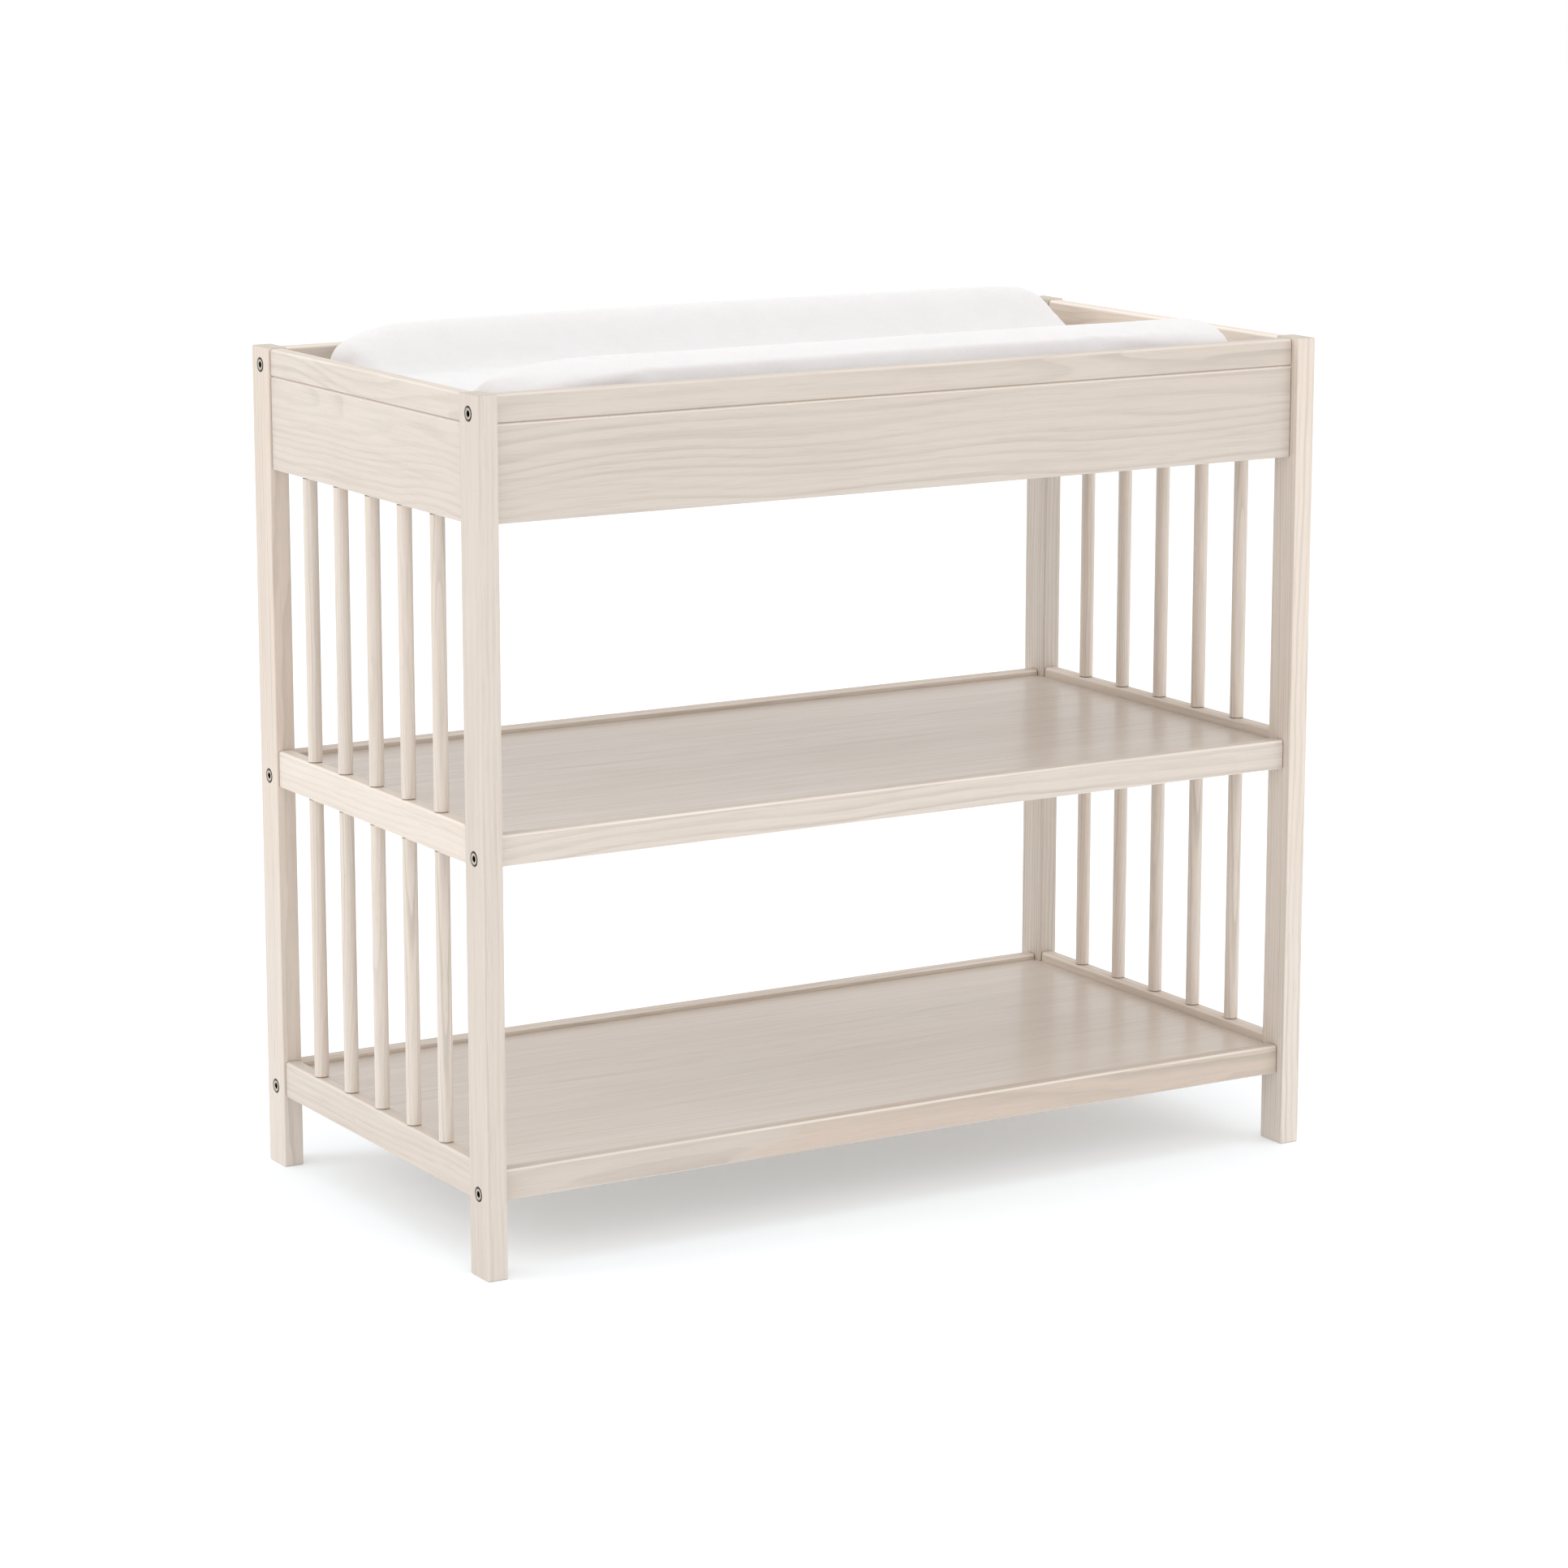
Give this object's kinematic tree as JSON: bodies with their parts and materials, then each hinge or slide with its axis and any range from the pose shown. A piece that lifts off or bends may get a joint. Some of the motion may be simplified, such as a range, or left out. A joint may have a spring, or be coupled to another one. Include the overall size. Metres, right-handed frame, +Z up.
{
  "type": "changing table",
  "caption": "Open wooden changing table with spindle ends, a middle and a bottom shelf, and a shallow top tray that holds a loose contoured changing pad.",
  "frame": {"origin": "centre of the footprint, at floor level", "axes": "+X along the length, towards the right end seen from the front; -Y towards the front; +Z up"},
  "size_m": [0.948, 0.49, 0.863],
  "materials": {
    "post_pine": "pale washed pine, satin, straight grain",
    "board_pine": "pale washed pine, satin, grain along the board",
    "spindle_pine": "pale washed pine, satin",
    "shelf_pine": "pale washed pine, satin lacquer",
    "cleat_pine": "plain planed pine",
    "dowel_wood": "plain beech",
    "bolt_steel": "nickel plated",
    "zinc_steel": "zinc plated",
    "pad_foam": "soft foam",
    "pad_plush": "white fine-pile plush"
  },
  "bodies": {
    "table": {"barrel_nuts_left": "zinc_steel", "barrel_nuts_right": "zinc_steel", "bottom_cleat_front": "cleat_pine", "bottom_cleat_rear": "cleat_pine", "bottom_shelf": "shelf_pine", "cleat_screws": "zinc_steel", "deck_cleat_front": "cleat_pine", "deck_cleat_rear": "cleat_pine", "deck_screws": "zinc_steel", "end_bottom_rail_left": "board_pine", "end_bottom_rail_right": "board_pine", "end_mid_rail_left": "board_pine", "end_mid_rail_right": "board_pine", "end_panel_left": "board_pine", "end_panel_right": "board_pine", "frame_bolts_left": "bolt_steel", "frame_bolts_right": "bolt_steel", "frame_dowels_left": "dowel_wood", "frame_dowels_right": "dowel_wood", "front_bottom_apron": "board_pine", "front_mid_apron": "board_pine", "front_top_panel": "board_pine", "locating_dowels_left": "dowel_wood", "locating_dowels_right": "dowel_wood", "mid_cleat_front": "cleat_pine", "mid_cleat_rear": "cleat_pine", "mid_shelf": "shelf_pine", "post_front_left": "post_pine", "post_front_right": "post_pine", "post_rear_left": "post_pine", "post_rear_right": "post_pine", "rear_bottom_rail": "board_pine", "rear_mid_rail": "board_pine", "rear_top_panel": "board_pine", "shelf_screws": "zinc_steel", "spindle_left_lower_1": "spindle_pine", "spindle_left_lower_2": "spindle_pine", "spindle_left_lower_3": "spindle_pine", "spindle_left_lower_4": "spindle_pine", "spindle_left_lower_5": "spindle_pine", "spindle_left_upper_1": "spindle_pine", "spindle_left_upper_2": "spindle_pine", "spindle_left_upper_3": "spindle_pine", "spindle_left_upper_4": "spindle_pine", "spindle_left_upper_5": "spindle_pine", "spindle_right_lower_1": "spindle_pine", "spindle_right_lower_2": "spindle_pine", "spindle_right_lower_3": "spindle_pine", "spindle_right_lower_4": "spindle_pine", "spindle_right_lower_5": "spindle_pine", "spindle_right_upper_1": "spindle_pine", "spindle_right_upper_2": "spindle_pine", "spindle_right_upper_3": "spindle_pine", "spindle_right_upper_4": "spindle_pine", "spindle_right_upper_5": "spindle_pine", "tray_deck": "shelf_pine"},
    "pad": {"pad_foam_core": "pad_foam", "pad_cover": "pad_plush"}
  },
  "joints": [
    {"name": "pad_lift", "type": "slide", "parent": "table", "child": "pad", "axis": [0, 0, 1], "range_m": [0, 0.15]}
  ]
}
